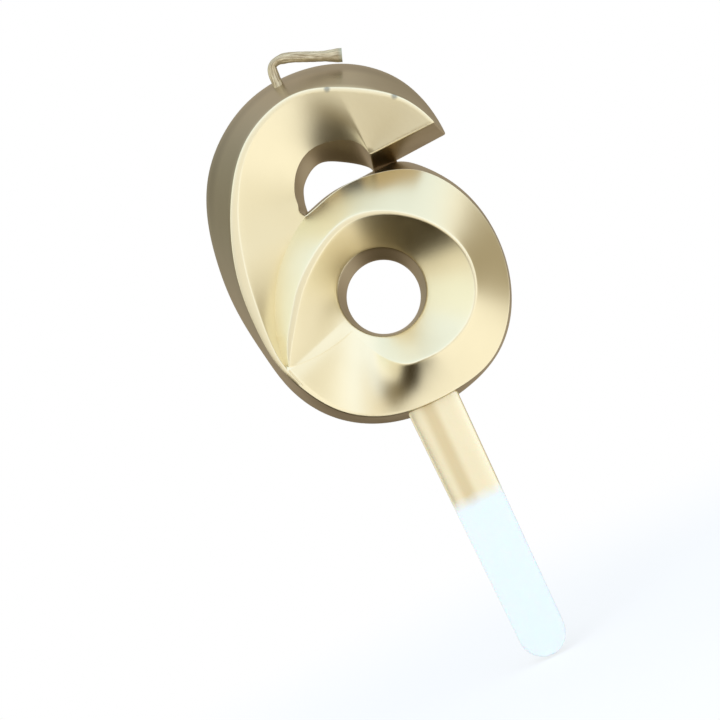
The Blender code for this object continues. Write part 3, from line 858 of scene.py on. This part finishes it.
def floor():
    """A plain pale floor under the stick's tip, fading into the white of the studio far away."""
    bpy.ops.mesh.primitive_plane_add(size=FLOOR_SIZE, location=(0, 0, stick_low[2] - FLOOR_DROP))
    made = bpy.context.object
    made.name = "pale_floor"
    paint_made, tree, surface = nodes_of("pale_floor")
    surface.inputs["Base Color"].default_value = (*FLOOR_SHADE, 1.0)
    surface.inputs["Roughness"].default_value = 1.0
    surface.inputs["Specular IOR Level"].default_value = 0.0
    glow = add(tree, "ShaderNodeEmission")
    place = add(tree, "ShaderNodeTexCoord")
    reach = add(tree, "ShaderNodeVectorMath", operation="LENGTH")
    tree.links.new(place.outputs["Object"], reach.inputs[0])
    far = map_range(tree, reach.outputs["Value"], *FLOOR_FADE, 0.55, 1.0, "SMOOTHSTEP")
    blend = add(tree, "ShaderNodeMixShader")
    tree.links.new(far, blend.inputs["Fac"])
    tree.links.new(surface.outputs["BSDF"], blend.inputs[1])
    tree.links.new(glow.outputs["Emission"], blend.inputs[2])
    output = tree.nodes["Material Output"]
    tree.links.new(blend.outputs["Shader"], output.inputs["Surface"])
    paint(made, paint_made)
    made.visible_glossy = False


def soft_light(name, place, target, size, power):
    """A square area light aimed at a point and not seen in the lacquer."""
    data = bpy.data.lights.new(name, "AREA")
    data.shape = "SQUARE"
    data.size = size
    data.energy = power
    lamp = bpy.data.objects.new(name, data)
    lamp.location = place
    lamp.rotation_euler = (Vector(target) - Vector(place)).to_track_quat("-Z", "Y").to_euler()
    lamp.visible_glossy = False
    bpy.context.scene.collection.objects.link(lamp)


def surroundings():
    """White studio for the camera; for reflections, a soft room that is dark low on the left."""
    world = bpy.data.worlds.new("studio")
    bpy.context.scene.world = world
    world.use_nodes = True
    tree = world.node_tree
    tree.nodes.clear()
    place = add(tree, "ShaderNodeTexCoord")
    output = add(tree, "ShaderNodeOutputWorld")
    white = add(tree, "ShaderNodeBackground")
    white.inputs["Color"].default_value = (1.0, 1.0, 1.0, 1.0)
    white.inputs["Strength"].default_value = 1.0
    room = add(tree, "ShaderNodeBackground")
    colour = ROOM_COLOUR
    for azimuth, off_axis, inner, outer, shade in ROOM:
        turn = math.radians(azimuth)
        lean = math.radians(off_axis)
        way = (math.sin(lean) * math.cos(turn), -math.cos(lean), math.sin(lean) * math.sin(turn))
        dot = add(tree, "ShaderNodeVectorMath", operation="DOT_PRODUCT")
        tree.links.new(place.outputs["Generated"], dot.inputs[0])
        dot.inputs[1].default_value = way
        low = math.cos(math.radians(outer))
        high = math.cos(math.radians(inner))
        near = map_range(tree, dot.outputs["Value"], low, high, 0.0, 1.0, "SMOOTHSTEP")
        colour = mix_colour(tree, near, colour, shade)
    tree.links.new(colour, room.inputs["Color"])
    room.inputs["Strength"].default_value = 1.0
    ray = add(tree, "ShaderNodeLightPath")
    blend = add(tree, "ShaderNodeMixShader")
    tree.links.new(ray.outputs["Is Camera Ray"], blend.inputs["Fac"])
    tree.links.new(room.outputs["Background"], blend.inputs[1])
    tree.links.new(white.outputs["Background"], blend.inputs[2])
    tree.links.new(blend.outputs["Shader"], output.inputs["Surface"])


def camera():
    """The camera: straight on, rolled so that the candle leans to the upper left."""
    data = bpy.data.cameras.new("camera")
    data.sensor_width = 36.0
    data.lens = data.sensor_width * VIEW_DISTANCE / VIEW_WIDTH
    data.clip_start = 0.01
    eye = bpy.data.objects.new("camera", data)
    right = Vector((math.cos(ROLL), 0.0, -math.sin(ROLL)))
    up = Vector((math.sin(ROLL), 0.0, math.cos(ROLL)))
    back = Vector((0.0, -1.0, 0.0))
    turn = Matrix((right, up, back)).transposed().to_4x4()
    place = (VIEW_CENTRE[0], RIM_Y - VIEW_DISTANCE, VIEW_CENTRE[1])
    eye.matrix_world = Matrix.Translation(place) @ turn
    bpy.context.scene.collection.objects.link(eye)
    bpy.context.scene.camera = eye


place_casting()
place_stick()
place_wick()
floor()
surroundings()
soft_light("key", KEY_PLACE, (0, 0, 0), KEY_SIZE, KEY_POWER)
camera()
bpy.context.scene.view_settings.view_transform = "Standard"
